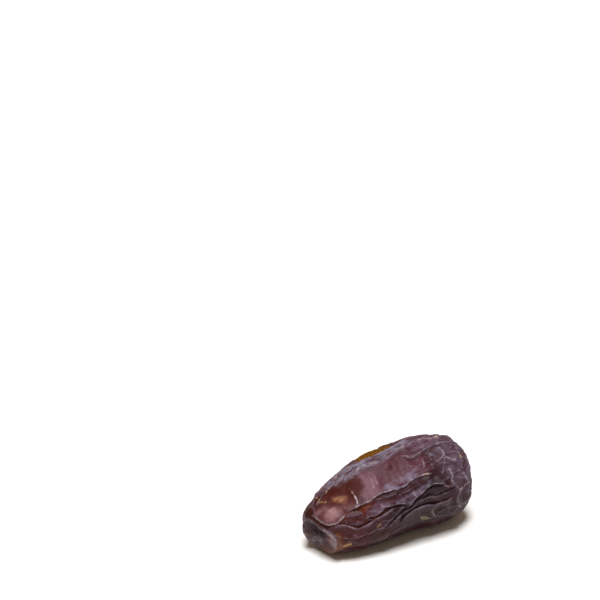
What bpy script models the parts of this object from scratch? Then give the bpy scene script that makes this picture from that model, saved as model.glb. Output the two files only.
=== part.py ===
"""An anbara date, whole and sun-dried, lying on its side.

The fruit is one solid: an oblong body, narrower at the stem end, whose skin has dried into long folds,
with a shallow dish at the stem end where the calyx sat. Lengths are in millimetres until the mesh is made.

A place on the skin is (along, round): the distance from the stem end along the skin in millimetres, and
the angle round the long axis in degrees, 0 on top, 90 on the side facing -Y, 180 underneath and 270 on the
far side.
"""

import math
import random

import bmesh
import bpy
import numpy as np
from mathutils import Vector, noise

MM = 0.001

# The body, as it would be without its folds
LENGTH = 48.0
BODY_RADIUS = 11.3
TIP_WIDENING = 0.185  # the body widens towards the tip by this share, and narrows as much towards the stem
END_FULLNESS = -0.04
STEM_ROUNDNESS = 0.70  # 1 gives an end as round as an ellipse, and less a blunter one
TIP_ROUNDNESS = 0.49
AXIS_ARCH = 2.2  # how far the middle of the axis stands above the line through its ends
AXIS_RISE = 2.0  # how far the tip's end of the axis stands above the middle, and the stem's below

# The dish at the stem end, where the calyx sat
DISH_PLACE = (2.7, 105)
DISH_RADIUS = 5.6
DISH_DEPTH = 2.0
DISH_SLOPE = 2.0  # the dish reaches its depth over this distance from its edge
DISH_RIM = 0.7
DISH_RIM_WIDTH = 0.8
DISH_REACH = 14.0  # nothing of the dish shows further from the stem end than this
SCAR_RADIUS = 1.5  # the raised scar of the stalk, in the middle of the dish
SCAR_RISE = 0.4

# The patch where the skin has come away, on the shoulder of the far side
BARE_PATCH_PLACE = (29.5, -36)
BARE_PATCH_SIZE = (7.0, 3.0)  # half its length along the date, and half its width round it
BARE_PATCH_DEPTH = 0.45
BARE_PATCH_EDGE = 0.3  # its step, as a share of its size

# The folds run from the stem towards the tip. A crest stands up on both sides of its line. A lip is full on
# one side, left or right of its line as seen from outside, and drops on the other into a furrow.
CRESTS = {
    "top_ridge": dict(
        path=[(9, -11), (14, -6), (18, -1), (23, 1), (28, 4), (33, 1), (37, 5), (43, 5), (48, -2), (53, -8)],
        rise=1.5, reach=1.9),
    "top_ridge_branch": dict(path=[(32, 1), (36, -2), (41, -4), (46, -12), (50, -22)], rise=0.6, reach=1.3),
    "shoulder_ridge": dict(
        path=[(10, -24), (17, -12), (22, -15), (26, -17), (30, -10), (34, -10), (38, -15), (46, -22)],
        rise=1.0, reach=1.3),
    "panel_crease": dict(path=[(15.0, 13), (15.7, 23), (15.8, 33), (15.3, 43)], rise=0.5, reach=1.0),
    "panel_swell": dict(path=[(22, 12), (22, 28), (21, 44)], rise=0.4, reach=1.3),
    "far_panel_crease": dict(path=[(37.2, 22), (36.6, 32), (36.0, 42)], rise=0.5, reach=1.1),
    "lower_curl": dict(path=[(36.6, 84), (36.0, 94), (37.2, 106)], rise=0.8, reach=1.0),
    "end_curl": dict(
        path=[(48, 70), (45.4, 76), (44.1, 84), (44.1, 94), (45.8, 107), (49, 122)],
        rise=1.0, reach=1.2),
    "tip_net_1": dict(path=[(41, 18), (43.4, 27), (43.8, 36), (46, 41), (49, 40)], rise=0.8, reach=1.1),
    "tip_net_2": dict(path=[(36.5, 44), (39, 41), (42, 37), (44.5, 35)], rise=0.8, reach=1.1),
    "tip_net_3": dict(path=[(52, 4), (48.6, 12), (46.5, 26), (45.5, 38)], rise=0.7, reach=1.1),
    "tip_net_4": dict(path=[(40, 60), (42.4, 65), (43.5, 72), (45.5, 77)], rise=0.9, reach=1.1),
    "tip_net_5": dict(path=[(46, 50), (47.5, 61), (48.6, 71), (50.5, 82)], rise=0.8, reach=1.1),
    "tip_net_6": dict(path=[(52, 14), (49.5, 34), (48.6, 52), (50, 66)], rise=0.7, reach=1.1),
}
LIPS = {
    "panel_foot": dict(
        path=[(4.6, 0), (5.3, 24), (6.3, 44), (8, 56), (10, 59), (11.8, 57)],
        full="left", rise=0.7, furrow=0.6, reach=2.4),
    "middle_fold": dict(
        path=[(11, 58), (13, 53), (15.5, 53), (18, 49), (21, 49), (24, 53), (28, 52), (32, 46), (35, 50),
              (39, 51)],
        full="left", rise=1.1, furrow=1.0, reach=2.8),
    "thin_skin_edge": dict(
        path=[(17.0, 2), (18.9, 10), (18.9, 18), (18.3, 26), (20.5, 31), (17.8, 37)],
        full="left", rise=0.3, furrow=0.4, reach=1.6),
    "finger_fold": dict(
        path=[(31.5, 7), (32.4, 17), (34.6, 20), (38, 19), (42, 15), (48, 9), (52, 5)],
        full="left", rise=0.75, furrow=0.6, reach=1.8),
    "second_fold": dict(
        path=[(15.6, 62), (16.5, 68), (20, 68), (22, 65), (25, 68), (28.3, 78), (31, 74), (34, 71), (37, 64),
              (42, 62)],
        full="left", rise=0.9, furrow=1.1, reach=2.0),
    "lobe_top": dict(
        path=[(7.3, 60), (9.5, 63), (12, 68), (14.4, 78), (16, 76), (20, 76), (24, 72.5), (26, 75)],
        full="right", rise=0.75, furrow=0.5, reach=2.2),
    "lobe_foot": dict(
        path=[(10.5, 104), (15, 103), (19.5, 103), (21.6, 97), (22, 86), (23.6, 82), (26, 76)],
        full="left", rise=0.75, furrow=0.8, reach=2.0),
    "sliver_top": dict(
        path=[(22.3, 103), (22.9, 92), (25, 84), (28.6, 80), (31.5, 76), (37, 75), (43, 78)],
        full="right", rise=0.5, furrow=1.1, reach=1.0),
    "grey_lobe_top": dict(
        path=[(22.6, 112), (24.3, 98), (27, 89), (31, 84), (35, 83), (39, 88), (43, 83)],
        full="right", rise=0.9, furrow=0.8, reach=2.6),
    "under_fold": dict(
        path=[(9, 118), (15, 124), (22, 121), (28, 122), (36, 118), (42, 122), (48, 130)],
        full="left", rise=0.6, furrow=0.7, reach=2.0),
}
LIP_EDGE = 1.5  # a lip falls into its furrow over this distance
FURROW_WIDTH = 1.1
FOLD_END_SHARE = 0.12  # a fold dies out over this share of its length at each end
FOLD_MERGING = 3  # folds that meet merge: 1 would pile them up, and more comes closer to the highest alone

# Round swellings (+) and hollows (-) of the skin: place, radius, height
BULGES = {
    "thin_skin_hollow": ((13.5, 16), 4.2, -0.5),
    "panel_hollow": ((25, 27), 5.0, -0.4),
    "stem_shoulder_hollow": ((12.5, -32), 4.5, -0.8),
    "stem_shoulder": ((4.4, -50), 3.4, 0.85),
    "tip_shoulder_hollow": ((53, -20), 5.0, -0.3),
    "tip_shoulder": ((50.5, 8), 3.4, 0.35),
    "tip_low_hollow": ((50, 88), 4.0, -0.7),
    "patch_swelling": ((27, -38), 5.0, 0.8),
    "under_hollow": ((33, 121), 6.0, -1.1),
    "pink_swelling": ((9.6, 38), 2.6, 0.4),
    "small_lobe": ((13.6, 64), 1.7, 0.55),
    "curl_hollow": ((38.6, 97), 1.5, -0.5),
    "end_hollow": ((47.5, 92), 2.0, -0.5),
    "deep_corner": ((39.5, 74), 2.0, -0.55),
    "scar_flap": ((6.2, 118), 1.3, 0.5),
}

# The folds of the side that faces away and down: each draws its own values from these ranges
FAR_FOLD_SEED = 11
FAR_FOLD_COUNT = 10
FAR_FOLD_ROUND = (142, 322)
FAR_FOLD_START = (6, 14)
FAR_FOLD_STOP = (46, 55)
FAR_FOLD_PLACES = 7
FAR_FOLD_WANDER = 7  # degrees, from one place of its path to the next
FAR_FOLD_RISE = (0.6, 1.1)
FAR_FOLD_FURROW = (0.5, 1.0)
FAR_FOLD_REACH = (1.6, 2.6)

# The net of wrinkles between the folds: the size of its meshes along and across the date
NET_MESH = (8.5, 3.2)
NET_RISE = 0.65
NET_WIDTH = 0.28
NET_FREE_ENDS = (8, 5)  # the net fades out over these lengths of the stem end and the tip
PANEL_ALONG = (7, 33)  # the broad smooth panel between top_ridge and middle_fold
PANEL_ROUND = (4, 47)
PANEL_FADE = (3, 5)  # along and round
PANEL_NET = 0.12  # the share of the net that shows there

# The skin's folds wander off their lines by these amounts, over these distances
WANDER = ((0.55, 6.5), (0.32, 2.4))
WANDER_SEED = 5  # without a seed, the noise is another one each time that Blender starts

# Underneath, the fruit's own weight has pressed the folds down to this share of their height
PRESSED_FOLDS = 0.25
PRESSED_ALONG = (8, 54)
PRESSED_ROUND = (140, 220)
PRESSED_FADE = (6, 20)  # along and round
REST_DEPTH = 0.5  # and it is flat up to this height above its lowest point
FACE_CELLS = 30  # cells along the edge of each of the six faces of the cube that the skin is laid out on
SMOOTHING_PASSES = 1  # takes the teeth off folds that run aslant to the cells


def smooth_step(value):
    """0 below 0, 1 above 1, and a smooth rise between."""
    t = np.clip(value, 0.0, 1.0)
    return t * t * (3 - 2 * t)


def between(value, limits, fade):
    """1 between the limits, 0 outside them, and a smooth change over the fade just inside each."""
    low, high = limits
    return smooth_step((value - low) / fade) * smooth_step((high - value) / fade)


def body_outline():
    """The body's outline from stem to tip: (distance along the skin, x, radius), finely stepped."""
    turn = np.linspace(0, math.pi, 4001)
    towards_tip = 0.5 - 0.5 * np.cos(turn)
    roundness = STEM_ROUNDNESS * (1 - towards_tip) + TIP_ROUNDNESS * towards_tip
    share = -np.sign(np.cos(turn)) * np.abs(np.cos(turn)) ** roundness
    widening = 1 + TIP_WIDENING * share + END_FULLNESS * share**2
    radius = BODY_RADIUS * np.clip(np.sin(turn), 0, None) ** roundness * widening
    x = share * LENGTH / 2
    along = np.concatenate([[0], np.cumsum(np.hypot(np.diff(x), np.diff(radius)))])
    return along, x, radius


OUTLINE = body_outline()
SKIN_LENGTH = OUTLINE[0][-1]


def body_point(along, angle):
    """Points of the smooth body, at distances along the skin and angles in radians."""
    x = np.interp(along, OUTLINE[0], OUTLINE[1])
    radius = np.interp(along, OUTLINE[0], OUTLINE[2])
    share = x / (LENGTH / 2)
    axis_height = AXIS_ARCH * (1 - share**2) + AXIS_RISE * share
    return np.stack([x, -radius * np.sin(angle), axis_height + radius * np.cos(angle)], axis=-1)


def body_normal(along, angle, step=0.05, turn=0.01):
    """Outward normals of the smooth body at the same places, from points a small step and turn apart."""
    inside = np.clip(along, 2 * step, SKIN_LENGTH - 2 * step)
    forward = body_point(inside + step, angle) - body_point(inside - step, angle)
    sideways = body_point(inside, angle + turn) - body_point(inside, angle - turn)
    normal = np.cross(sideways, forward)
    return normal / np.linalg.norm(normal, axis=-1, keepdims=True)


def place_point(place):
    """The point of the smooth body at (along, round)."""
    return body_point(np.array(place[0]), np.array(math.radians(place[1])))


def fold_line(path, steps=12):
    """A smooth line on the body through the places of a path, as closely spaced points."""
    places = np.array(path, float)
    ends = np.vstack([2 * places[0] - places[1], places, 2 * places[-1] - places[-2]])
    t = np.linspace(0, 1, steps, endpoint=False)[:, None]
    line = []
    for a, b, c, d in zip(ends, ends[1:], ends[2:], ends[3:]):
        line.append(0.5 * (2 * b + (c - a) * t + (2 * a - 5 * b + 4 * c - d) * t**2
                           + (3 * b - a - 3 * c + d) * t**3))
    line.append(places[-1:])
    line = np.vstack(line)
    return body_point(line[:, 0], np.radians(line[:, 1]))


def from_line(points, normals, line):
    """Each point's distance from the line, positive on its left, and how much of the fold is left there."""
    start, step = line[:-1], np.diff(line, axis=0)
    length = np.linalg.norm(step, axis=1)
    offset = points[:, None] - start[None]
    t = np.clip((offset * step).sum(-1) / length**2, 0, 1)
    foot = start[None] + t[..., None] * step
    gap = np.linalg.norm(points[:, None] - foot, axis=-1)
    nearest = gap.argmin(1)
    row = np.arange(len(points))
    left = np.cross(normals, step[nearest])
    side = np.sign(((points - foot[row, nearest]) * left).sum(-1))
    passed = np.concatenate([[0], np.cumsum(length)])
    share = (passed[nearest] + t[row, nearest] * length[nearest]) / passed[-1]
    alive = smooth_step(share / FOLD_END_SHARE) * smooth_step((1 - share) / FOLD_END_SHARE)
    return side * gap[row, nearest], alive


def crest_height(distance, rise, reach):
    """A ridge with a sharp top and sides that flatten out into the skin."""
    return rise * np.exp(-np.abs(distance) / reach)


def lip_height(distance, rise, furrow, reach):
    """How high a lip stands, full where distance is positive, and how deep its furrow is beyond the edge."""
    drop = smooth_step(0.5 - distance / LIP_EDGE)
    behind = np.clip(distance - LIP_EDGE / 2, 0, None)
    up = rise * np.exp(-((behind / reach) ** 1.5)) * (1 - drop)
    beyond = np.clip(-distance - LIP_EDGE / 2, 0, None)
    down = furrow * np.exp(-((beyond / FURROW_WIDTH) ** 1.5)) * drop
    return up, down


def merged(heights):
    """One height from those of many folds."""
    return (np.stack(heights) ** FOLD_MERGING).sum(0) ** (1 / FOLD_MERGING)


def far_folds():
    """Folds for the side that faces away, as lips whose lines wander from stem to tip."""
    draw = random.Random(FAR_FOLD_SEED)
    folds = []
    for angle in np.linspace(*FAR_FOLD_ROUND, FAR_FOLD_COUNT):
        path = []
        start = draw.uniform(*FAR_FOLD_START)
        stop = draw.uniform(*FAR_FOLD_STOP)
        for along in np.linspace(start, stop, FAR_FOLD_PLACES):
            angle += draw.uniform(-FAR_FOLD_WANDER, FAR_FOLD_WANDER)
            path.append((along, angle))
        folds.append(dict(
            path=path, full=draw.choice(["left", "right"]), rise=draw.uniform(*FAR_FOLD_RISE),
            furrow=draw.uniform(*FAR_FOLD_FURROW), reach=draw.uniform(*FAR_FOLD_REACH)))
    return folds


def wandered(points):
    """The points moved a little, so that folds waver."""
    moved = points.copy()
    noise.seed_set(WANDER_SEED)
    for amount, distance in WANDER:
        moved += amount * np.array([noise.noise_vector(Vector(p / distance)) for p in points])
    return moved


def wrinkle_net(points, along, angle):
    """The height of the net of fine wrinkles: ridges along the borders of long cells."""
    length, width = NET_MESH
    heights = np.empty(len(points))
    for i, point in enumerate(points / (length, width, width)):
        nearest = noise.voronoi(Vector(point))[0]
        heights[i] = math.exp(-(nearest[1] - nearest[0]) / NET_WIDTH)
    on_panel = (between(along, PANEL_ALONG, PANEL_FADE[0])
                * between(np.degrees(angle), PANEL_ROUND, PANEL_FADE[1]))
    stem_end, tip_end = NET_FREE_ENDS
    ends = smooth_step(along / stem_end) * smooth_step((SKIN_LENGTH - along) / tip_end)
    return NET_RISE * heights * (1 + (PANEL_NET - 1) * on_panel) * ends


def dish_height(points):
    """The height of the dish, with its rim and the scar in its middle, and how far each point is in it."""
    centre = place_point(DISH_PLACE)
    facing = body_normal(np.array([DISH_PLACE[0]]), np.radians([DISH_PLACE[1]]))[0]
    offset = points - centre
    gap = np.linalg.norm(offset - np.outer(offset @ facing, facing), axis=1)
    at_stem = smooth_step((-LENGTH / 2 + DISH_REACH - points[:, 0]) / DISH_RADIUS)
    bowl = -DISH_DEPTH * smooth_step((DISH_RADIUS - gap) / DISH_SLOPE)
    rim = DISH_RIM * np.exp(-(((gap - DISH_RADIUS) / DISH_RIM_WIDTH) ** 2))
    scar = SCAR_RISE * np.exp(-((gap / SCAR_RADIUS) ** 4))
    inside = smooth_step((DISH_RADIUS + DISH_RIM_WIDTH - gap) / DISH_RIM_WIDTH)
    return (bowl + rim + scar) * at_stem, inside * at_stem


def bare_patch_height(points):
    """The hollow left where the skin has come away, with a low step round it."""
    centre = place_point(BARE_PATCH_PLACE)
    half_length, half_width = BARE_PATCH_SIZE
    offset = (points - centre) / (half_length, half_width, half_width)
    inside = 1 - np.linalg.norm(offset, axis=1)
    return -BARE_PATCH_DEPTH * smooth_step(0.5 + inside / BARE_PATCH_EDGE)


def relief(along, angle):
    """How far the skin stands out from the smooth body."""
    points = body_point(along, angle)
    normals = body_normal(along, angle)
    dish, in_dish = dish_height(points)
    moved = wandered(points)
    ups = [wrinkle_net(moved, along, angle)]
    downs = []
    for fold in CRESTS.values():
        distance, alive = from_line(moved, normals, fold_line(fold["path"]))
        ups.append(alive * crest_height(distance, fold["rise"], fold["reach"]))
    for fold in [*LIPS.values(), *far_folds()]:
        distance, alive = from_line(moved, normals, fold_line(fold["path"]))
        if fold["full"] == "right":
            distance = -distance
        up, down = lip_height(distance, fold["rise"], fold["furrow"], fold["reach"])
        ups.append(alive * up)
        downs.append(alive * down)
    height = merged(ups) - merged(downs)
    for place, radius, rise in BULGES.values():
        gap = np.linalg.norm(moved - place_point(place), axis=1)
        height += rise * np.exp(-((gap / radius) ** 2))
    height += bare_patch_height(moved)
    pressed = (between(along, PRESSED_ALONG, PRESSED_FADE[0])
               * between(np.degrees(angle) % 360, PRESSED_ROUND, PRESSED_FADE[1]))
    height *= 1 + (PRESSED_FOLDS - 1) * pressed
    return height * (1 - in_dish) + dish


def skin_point(direction):
    """Points of the finished skin, in millimetres, for directions from the middle of a unit sphere."""
    unit = direction / np.linalg.norm(direction, axis=1, keepdims=True)
    along = np.arccos(np.clip(-unit[:, 0], -1, 1)) / math.pi * SKIN_LENGTH
    angle = np.arctan2(-unit[:, 1], unit[:, 2])
    height = relief(along, angle)
    return body_point(along, angle) + body_normal(along, angle) * height[:, None]


def place_vertices(mesh, points):
    """Put each vertex at its point."""
    for vertex, point in zip(mesh.verts, points):
        vertex.co = point


def vertex_places(mesh):
    """The vertices' places, as an array."""
    return np.array([vertex.co for vertex in mesh.verts])


def rest_on_table(points):
    """The points with the underside pressed flat on z = 0, and x and y centred on the fruit's box."""
    low, high = points.min(0), points.max(0)
    shift = np.array([(low[0] + high[0]) / 2, (low[1] + high[1]) / 2, low[2] + REST_DEPTH])
    resting = points - shift
    resting[:, 2] = np.clip(resting[:, 2], 0, None)
    return resting


def date_mesh():
    """A cube cut into even cells, blown up to a ball and laid on the skin."""
    mesh = bmesh.new()
    bmesh.ops.create_cube(mesh, size=2)
    bmesh.ops.subdivide_edges(mesh, edges=mesh.edges, cuts=FACE_CELLS - 1, use_grid_fill=True)
    place_vertices(mesh, skin_point(np.tan(vertex_places(mesh) * math.pi / 4)))
    for _ in range(SMOOTHING_PASSES):
        bmesh.ops.smooth_vert(
            mesh, verts=mesh.verts, factor=0.5, use_axis_x=True, use_axis_y=True, use_axis_z=True)
    place_vertices(mesh, rest_on_table(vertex_places(mesh)) * MM)
    bmesh.ops.triangulate(mesh, faces=mesh.faces, quad_method="SHORT_EDGE")
    bmesh.ops.recalc_face_normals(mesh, faces=mesh.faces)
    data = bpy.data.meshes.new("date")
    mesh.to_mesh(data)
    mesh.free()
    data.shade_smooth()
    return data


def skin_material():
    """Dark aubergine-brown skin with a soft shine."""
    material = bpy.data.materials.new("date_skin")
    material.use_nodes = True
    shader = material.node_tree.nodes["Principled BSDF"]
    shader.inputs["Base Color"].default_value = (0.075, 0.026, 0.024, 1)
    shader.inputs["Roughness"].default_value = 0.38
    shader.inputs["Metallic"].default_value = 0.0
    material.diffuse_color = (0.075, 0.026, 0.024, 1)
    return material


def main():
    for obj in list(bpy.data.objects):
        bpy.data.objects.remove(obj)
    date = bpy.data.objects.new("date", date_mesh())
    date.data.materials.append(skin_material())
    bpy.context.scene.collection.objects.link(date)


main()
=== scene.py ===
import math
import random

import bmesh
import bpy
import numpy as np
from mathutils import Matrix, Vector, noise


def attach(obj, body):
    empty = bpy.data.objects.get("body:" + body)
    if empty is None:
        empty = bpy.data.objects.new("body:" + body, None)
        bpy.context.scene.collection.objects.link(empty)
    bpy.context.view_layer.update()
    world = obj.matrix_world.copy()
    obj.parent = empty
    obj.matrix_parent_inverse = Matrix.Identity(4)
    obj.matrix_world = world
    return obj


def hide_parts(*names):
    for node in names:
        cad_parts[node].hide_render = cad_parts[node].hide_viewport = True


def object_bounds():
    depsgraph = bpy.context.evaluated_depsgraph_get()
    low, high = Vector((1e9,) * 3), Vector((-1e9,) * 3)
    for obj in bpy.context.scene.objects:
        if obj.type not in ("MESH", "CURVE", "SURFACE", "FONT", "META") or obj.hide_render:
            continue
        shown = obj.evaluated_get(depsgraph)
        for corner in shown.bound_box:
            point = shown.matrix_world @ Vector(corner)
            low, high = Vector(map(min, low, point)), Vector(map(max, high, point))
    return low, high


# One dried anbara date on a pale floor. Lengths are in mm until a mesh is made.
# A place on the skin is (along, round): mm from the stem end along the skin, and degrees round the long axis,
# 0 on top, 90 on the side that the camera sees, 180 underneath and 270 on the far side.

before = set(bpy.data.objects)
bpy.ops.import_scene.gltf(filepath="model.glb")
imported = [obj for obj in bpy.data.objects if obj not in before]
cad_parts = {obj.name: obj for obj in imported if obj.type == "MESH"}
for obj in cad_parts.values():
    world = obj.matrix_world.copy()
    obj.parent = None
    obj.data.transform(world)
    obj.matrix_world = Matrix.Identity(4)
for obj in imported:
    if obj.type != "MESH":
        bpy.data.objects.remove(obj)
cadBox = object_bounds()
mm = 0.001


def smoothStep(value):  # 0 below 0, 1 above 1, smooth between
    t = np.clip(value, 0.0, 1.0)
    return t * t * (3 - 2 * t)


def between(value, limits, fade):  # 1 between the limits, fading just inside each
    low, high = limits
    return smoothStep((value - low) / fade) * smoothStep((high - value) / fade)


# The body without its folds, with the same values as the solid
body = dict(
    length=48.0, radius=11.3, tipWidening=0.185, endFullness=-0.04,
    stemRoundness=0.70, tipRoundness=0.49,  # 1 is as round as an ellipse, less is blunter
    axisArch=2.2, axisRise=2.0)


def bodyOutline(steps=4000):  # distance along the skin, x and radius, from stem to tip
    turn = np.linspace(0, math.pi, steps + 1)
    towardsTip = 0.5 - 0.5 * np.cos(turn)
    roundness = body["stemRoundness"] * (1 - towardsTip) + body["tipRoundness"] * towardsTip
    share = -np.sign(np.cos(turn)) * np.abs(np.cos(turn)) ** roundness
    widening = 1 + body["tipWidening"] * share + body["endFullness"] * share**2
    radius = body["radius"] * np.clip(np.sin(turn), 0, None) ** roundness * widening
    x = share * body["length"] / 2
    along = np.concatenate([[0], np.cumsum(np.hypot(np.diff(x), np.diff(radius)))])
    return along, x, radius


outline = bodyOutline()
skinLength = outline[0][-1]


def bodyPoint(along, angle):  # angle in radians
    x = np.interp(along, outline[0], outline[1])
    radius = np.interp(along, outline[0], outline[2])
    share = x / (body["length"] / 2)
    axisHeight = body["axisArch"] * (1 - share**2) + body["axisRise"] * share
    return np.stack([x, -radius * np.sin(angle), axisHeight + radius * np.cos(angle)], axis=-1)


def bodyNormal(along, angle, step=0.05, turn=0.01):
    inside = np.clip(along, 2 * step, skinLength - 2 * step)
    forward = bodyPoint(inside + step, angle) - bodyPoint(inside - step, angle)
    sideways = bodyPoint(inside, angle + turn) - bodyPoint(inside, angle - turn)
    normal = np.cross(sideways, forward)
    return normal / np.linalg.norm(normal, axis=-1, keepdims=True)


def placePoint(place):
    return bodyPoint(np.array(float(place[0])), np.array(math.radians(place[1])))


# Folds run from the stem towards the tip. A crest stands up on both sides of its line; a lip is full on one
# side, left or right as seen from outside, and drops on the other into a furrow.
crests = dict(
    topRidge=dict(
        path=[(9, -20), (12.6, -14), (16.3, -7), (17.8, 0), (19.4, 2), (21.0, 0), (22.8, 1), (25.0, 5),
              (27.3, 7), (29.1, 6), (31.2, 2), (33.2, 0), (35.3, 0), (37.6, -1), (40.5, 1), (43.1, 3),
              (46, 0), (53, -8)],
        rise=1.3, reach=1.7, soft=0.1, pale=2.0),
    topRidgeBranch=dict(path=[(32, 1), (36, -5), (41, -6), (46, -12), (50, -22)], rise=0.6, reach=1.3),
    shoulderRidge=dict(
        path=[(11, -26), (17, -24), (20.9, -17), (22.4, -12), (25.9, -14), (27.6, -11), (29.6, -12),
              (32.1, -11), (35.1, -15), (41.1, -16), (46, -20)],
        rise=0.9, reach=1.2),
    fingerTop=dict(
        path=[(32.6, 5), (35.9, 8), (39.0, 10), (42.3, 11), (44.0, 12), (45.9, 12), (48.2, 10), (50.5, 6)],
        rise=0.5, reach=0.8, pale=0.8),
    fingerLink=dict(
        path=[(36.1, 18), (37.7, 17), (39.3, 14), (40.5, 10), (41.9, 6), (43.5, 4)],
        rise=0.3, reach=0.7),
    panelHook=dict(
        path=[(14.7, 8), (15.1, 14), (15.3, 20), (15.4, 27), (15.5, 34), (15.4, 40), (15.1, 46)],
        rise=0.6, reach=0.55, soft=0.24, pale=2.7),
    panelSwell=dict(path=[(21.4, 12), (21.3, 21), (21.1, 29), (20.7, 38)], rise=0.35, reach=0.8, soft=0.25),
    panelSwell2=dict(path=[(22.5, 18), (22.1, 26), (22.3, 35)], rise=0.25, reach=0.7, soft=0.25),
    farPanelCrease=dict(path=[(36.8, 24), (36.4, 31), (36.1, 35), (35.5, 40)], rise=0.5, reach=0.6, pale=1.2),
    farPanelCrease2=dict(path=[(39.8, 22), (39.3, 28), (38.4, 34)], rise=0.35, reach=0.7, soft=0.25),
    bandHook=dict(path=[(30.9, 61), (30.9, 64), (31.3, 69)], rise=0.4, reach=0.6, pale=1.2),
    bandTurn=dict(path=[(20.9, 60), (21.1, 64), (21.6, 68)], rise=0.4, reach=0.6, pale=1.4),
    lowerCurl=dict(
        path=[(37.2, 88), (36.3, 96), (36.7, 104), (38.2, 112)],
        rise=0.8, reach=0.8, soft=0.22, pale=2.2),
    lowerCurl2=dict(path=[(39.8, 90), (41.0, 98), (41.7, 105), (41.6, 113)], rise=0.35, reach=0.9, soft=0.25),
    endCurl=dict(
        path=[(46.6, 77), (44.9, 80), (44.3, 85), (43.9, 91), (44.3, 98), (46.4, 113)],
        rise=0.9, reach=1.0, soft=0.2, pale=1.7),
    endFlap=dict(
        path=[(37.6, 53), (38.7, 58), (39.4, 61), (40.2, 64), (40.4, 68), (41.4, 70), (42.4, 69), (43.6, 67)],
        rise=0.55, reach=0.8, soft=0.18, pale=1.0),
    tipTop1=dict(
        path=[(42.8, 16), (43.2, 25), (43.2, 30), (43.3, 34), (44.2, 36), (45.1, 39), (46.8, 42)],
        rise=0.7, reach=0.9, soft=0.2, pale=1.0),
    tipTop2=dict(
        path=[(37.6, 41), (39.2, 38), (41.5, 35), (42.4, 33), (43.2, 29)],
        rise=0.6, reach=0.8, soft=0.2, pale=0.9),
    tipDown=dict(
        path=[(43.2, 33), (42.4, 39), (41.6, 44), (41.2, 48), (40.0, 53)],
        rise=0.45, reach=0.8, soft=0.25),
    tipFork=dict(
        path=[(43.4, 44), (43.2, 52), (43.2, 58), (42.9, 62), (42.6, 65), (43.1, 70), (43.8, 74), (44.9, 79),
              (46.6, 78), (48.2, 76), (50.2, 76)],
        rise=0.7, reach=0.9, soft=0.24, pale=0.7),
    tipEdge=dict(
        path=[(46.8, 56), (47.1, 61), (47.7, 66), (48.3, 72), (50.0, 80)],
        rise=0.6, reach=0.8, soft=0.2, pale=0.9),
    tipNib=dict(path=[(48.0, 10), (47.4, 16), (46.6, 23)], rise=0.3, reach=0.8, soft=0.2, pale=0.8),
    tipFar1=dict(
        path=[(48.9, 18), (48.3, 30), (47.9, 39), (47.3, 48), (46.9, 56)],
        rise=0.5, reach=0.9, soft=0.25),
    tipFar2=dict(path=[(51.4, 12), (52.0, 28), (50.2, 45), (49.4, 60)], rise=0.5, reach=0.9, soft=0.25))
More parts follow.
